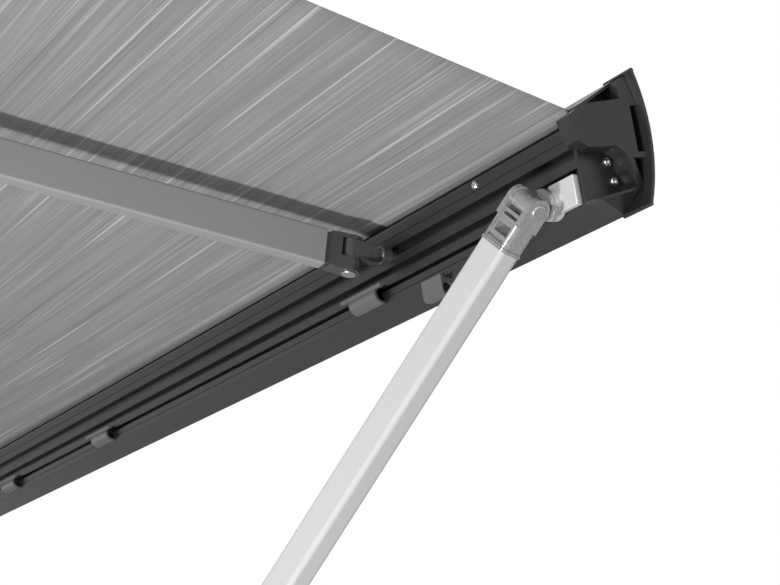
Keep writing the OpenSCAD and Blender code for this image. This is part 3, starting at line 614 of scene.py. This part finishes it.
lowRim = geoNode(screwTree, "GeometryNodeMeshCylinder",
                 [("Radius", radius), ("Depth", times(height, 0.6))], in_Vertices=28)
crown = geoNode(screwTree, "GeometryNodeMeshCone",
                [("Radius Bottom", times(radius, 0.985)), ("Radius Top", times(radius, 0.70)),
                 ("Depth", times(height, 0.45))], in_Vertices=28)
headSolid = geoNode(screwTree, "GeometryNodeMeshBoolean", operation="UNION")
for part in (raised(lowRim, times(height, 0.3)), raised(crown, times(height, 0.55))):
    screwTree.links.new(part.outputs[0], headSolid.inputs["Mesh 2"])
socket = geoNode(screwTree, "GeometryNodeMeshCylinder",
                 [("Radius", scIn.outputs["Socket Radius"]), ("Depth", times(height, 1.2))], in_Vertices=6)
screwHead = geoNode(screwTree, "GeometryNodeMeshBoolean", operation="DIFFERENCE")
screwTree.links.new(headSolid.outputs[0], screwHead.inputs["Mesh 1"])
screwTree.links.new(raised(socket, height).outputs[0], screwHead.inputs["Mesh 2"])
facing = geoNode(screwTree, "GeometryNodeInputNamedAttribute", data_type="FLOAT_VECTOR", in_Name="facing")
turnTo = geoNode(screwTree, "FunctionNodeAlignRotationToVector",
                 [("Vector", facing.outputs["Attribute"])], axis="Z")
placed = geoNode(screwTree, "GeometryNodeInstanceOnPoints",
                 [("Points", scIn.outputs["Geometry"]), ("Instance", screwHead.outputs[0]),
                  ("Rotation", turnTo.outputs[0])])
screwReal = geoNode(screwTree, "GeometryNodeRealizeInstances", [("Geometry", placed.outputs[0])])
screwMat = geoNode(screwTree, "GeometryNodeSetMaterial",
                   [("Geometry", screwReal.outputs[0]), ("Material", scIn.outputs["Material"])])
screwTree.links.new(screwMat.outputs[0], scOut.inputs["Geometry"])


def makeScrews(name, body, spots, radius=0.004, stands=()):
    mesh = bpy.data.meshes.new(name)
    mesh.from_pydata([spot[0] for spot in spots], [], [])
    facing = mesh.attributes.new("facing", "FLOAT_VECTOR", "POINT")
    for i, spot in enumerate(spots):
        facing.data[i].vector = Vector(spot[1]).normalized()
    piece = runTree(addPiece(name, mesh), screwTree, scIds,
                    {"Head Radius": radius, "Head Height": screws["headHeight"],
                     "Socket Radius": screws["socketRadius"], "Material": finishes["screw_steel"]})
    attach(piece, body)
    if stands:
        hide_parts(*stands)
    return piece


def fromEnd(side, inward, back, up):
    return (side * (-railEnd.x - inward), railEnd.y + back, railEnd.z + up)


screws = {
    "headHeight": 0.0024,
    "socketRadius": 0.0016,
    "capAt": [(-0.004, -0.031, -0.0325), (-0.004, -0.035, -0.050)],
    "lockAt": (0.142, 0.0, -0.0045),
    "cupAt": (0.300, 0.0025, -0.0240),
    "cupRadius": 0.0042,
    "cassetteEnd": 1.594,
    "cassetteAt": [(-0.018, 0.002), (-0.018, -0.102), (-0.108, -0.010)],
    "cassetteRadius": 0.0045,
}
ends = (-1, 1)
makeScrews("railCapScrews", "lead_rail",
           [(fromEnd(s, *at), (s, 0, 0)) for s in ends for at in screws["capAt"]], stands=["cap_screws"])
makeScrews("fabricLockScrews", "lead_rail",
           [(fromEnd(s, *screws["lockAt"]), (0, 1, 0)) for s in ends], stands=["fabric_screws"])
makeScrews("wristCupScrews", "lead_rail", [(fromEnd(s, *screws["cupAt"]), (0, 1, 0)) for s in ends],
           radius=screws["cupRadius"])
makeScrews("cassetteCapScrews", "cassette",
           [((s * screws["cassetteEnd"], *at), (s, 0, 0)) for s in ends for at in screws["cassetteAt"]],
           radius=screws["cassetteRadius"])
print("stage: screws")

# Floor, backdrop and light

studio = {"half": 14, "floor": -3.4}
corners = [(-1, -1), (1, -1), (1, 1), (-1, 1)]
floorMesh = bpy.data.meshes.new("floor")
floorMesh.from_pydata([(x * studio["half"], y * studio["half"], studio["floor"]) for x, y in corners],
                      [], [(0, 1, 2, 3)])
floor = addPiece("floor", floorMesh)
floorMat, floorTree, floorSkin, _ = startFinish("paleFloor")
floorSkin.inputs["Base Color"].default_value = (0.9, 0.9, 0.9, 1)
floorSkin.inputs["Roughness"].default_value = 0.9
floor.data.materials.append(floorMat)

world = bpy.data.worlds.new("studio")
bpy.context.scene.world = world
world.use_nodes = True
worldTree = world.node_tree
ambient = worldTree.nodes["Background"]
ambient.inputs["Color"].default_value = (1, 1, 1, 1)
ambient.inputs["Strength"].default_value = 0.15
white = worldTree.nodes.new("ShaderNodeBackground")
white.inputs["Color"].default_value = (1, 1, 1, 1)
path = worldTree.nodes.new("ShaderNodeLightPath")
pick = worldTree.nodes.new("ShaderNodeMixShader")
bent = mathNode(worldTree, "MAXIMUM", path.outputs["Is Glossy Ray"], path.outputs["Is Transmission Ray"])
seen = mathNode(worldTree, "MAXIMUM", path.outputs["Is Camera Ray"], bent)
worldTree.links.new(seen, pick.inputs[0])
worldTree.links.new(ambient.outputs[0], pick.inputs[1])
worldTree.links.new(white.outputs[0], pick.inputs[2])
worldTree.links.new(pick.outputs[0], worldTree.nodes["World Output"].inputs["Surface"])


def areaLamp(name, place, target, size, power):
    data = bpy.data.lights.new(name, "AREA")
    data.shape = "DISK"
    data.size = size
    data.energy = power
    lamp = bpy.data.objects.new(name, data)
    bpy.context.scene.collection.objects.link(lamp)
    lamp.location = place
    lamp.rotation_mode = "QUATERNION"
    lamp.rotation_quaternion = (Vector(target) - Vector(place)).to_track_quat("-Z", "Y")
    lamp.visible_camera = False


areaLamp("keyLamp", (-1.97, 0.0, -2.4), (-1.25, -1.95, -0.55), 0.30, 78)
areaLamp("wallLamp", (-2.0, 3.4, -0.6), (-1.3, -2.2, -0.9), 1.6, 112)
areaLamp("sideLamp", (-4.5, -0.5, -0.6), (-1.4, -2.2, -0.7), 2.0, 22)
areaLamp("topLamp", (-1.0, -4.0, 3.0), (-0.5, -1.5, -0.4), 3.0, 88)
print("stage: light")
